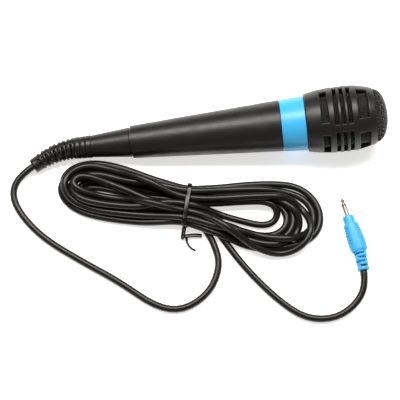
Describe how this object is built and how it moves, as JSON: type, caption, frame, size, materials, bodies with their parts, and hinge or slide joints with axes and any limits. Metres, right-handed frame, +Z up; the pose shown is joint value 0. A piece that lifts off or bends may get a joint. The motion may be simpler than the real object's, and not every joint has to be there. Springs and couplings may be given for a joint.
{
  "type": "wired handheld microphone",
  "caption": "Wired karaoke microphone: tapered handle, coloured band, windowed head with woven mesh dome, and a cord folded into a tied hank with a mono jack plug.",
  "frame": {"origin": "on the surface it lies on, under the middle of the microphone without its cord", "axes": "+X from the tail cap towards the head, +Z up, the cord lies on the -Y side"},
  "size_m": [0.2908, 0.1752, 0.0505],
  "materials": {
    "shell_black": "satin moulded ABS with a fine grain",
    "boot_black": "soft moulded PVC, satin",
    "cord_black": "smooth glossy PVC jacket",
    "tie_black": "plastic-coated flat wire tie",
    "band_blue": "semi-gloss moulded plastic",
    "plug_blue": "satin moulded PVC",
    "wire_black": "black lacquered woven steel wire",
    "foam_grey": "open-cell foam",
    "jack_plating": "polished nickel plating",
    "insulator_black": "moulded",
    "inner_plastic": "moulded",
    "mount_rubber": "soft, dull",
    "case_aluminium": "drawn, satin",
    "soft_steel": "zinc plated",
    "ferrite_grey": "sintered",
    "coil_copper": "enamelled copper wire",
    "crimp_brass": "pressed",
    "tinned_tag": "tinned",
    "film_clear": "thin polyester film",
    "cloth_grey": "woven damping cloth",
    "fibre_board": "phenolic paper board",
    "lead_red": "thin insulation",
    "lead_white": "thin insulation"
  },
  "bodies": {
    "tail": {"tail_cap": "shell_black", "cord_boot": "boot_black", "cord_crimp": "crimp_brass", "signal_lead": "lead_red", "ground_lead": "lead_white", "cord_lead": "cord_black", "cord_hank": "cord_black", "cord_tail": "cord_black", "hank_tie": "tie_black", "plug_shell": "plug_blue", "plug_relief": "plug_blue", "plug_sleeve": "jack_plating", "plug_insulator": "insulator_black", "plug_tip": "jack_plating"},
    "handle": {"handle_barrel": "shell_black"},
    "ring": {"colour_ring": "band_blue"},
    "head": {"head_housing": "shell_black", "thread_collar": "inner_plastic", "mesh_basket": "wire_black", "foam_liner": "foam_grey", "capsule_mount": "mount_rubber", "capsule_case": "case_aluminium", "capsule_frame": "inner_plastic", "yoke": "soft_steel", "magnet": "ferrite_grey", "pole_plate": "soft_steel", "diaphragm_ring": "crimp_brass", "capsule_cloth": "cloth_grey", "capsule_cover": "case_aluminium", "terminal_board": "fibre_board", "terminal_tags": "tinned_tag"},
    "diaphragm": {"diaphragm": "film_clear", "voice_coil": "coil_copper"}
  },
  "joints": [
    {"name": "tail_twist", "type": "hinge", "parent": "tail", "child": "handle", "pos_m": [-0.05837, 0, 0.0124], "axis": [0.9967, 0, 0.0813], "range_deg": [0, 30]},
    {"name": "head_turn", "type": "hinge", "parent": "handle", "child": "ring", "pos_m": [0.07434, 0, 0.02323], "axis": [0.9967, 0, 0.0813], "range_deg": [0, 1442]},
    {"name": "head_travel", "type": "slide", "parent": "ring", "child": "head", "axis": [0.9967, 0, 0.0813], "range_m": [0, 0.008]},
    {"name": "diaphragm_travel", "type": "slide", "parent": "head", "child": "diaphragm", "axis": [0.9967, 0, 0.0813], "range_m": [-0.0003, 0.0003], "stiffness_N_per_m": 180}
  ],
  "couplings": [
    {"joint": "head_turn", "follows": "head_travel", "rad_per_m": 3141.6}
  ]
}
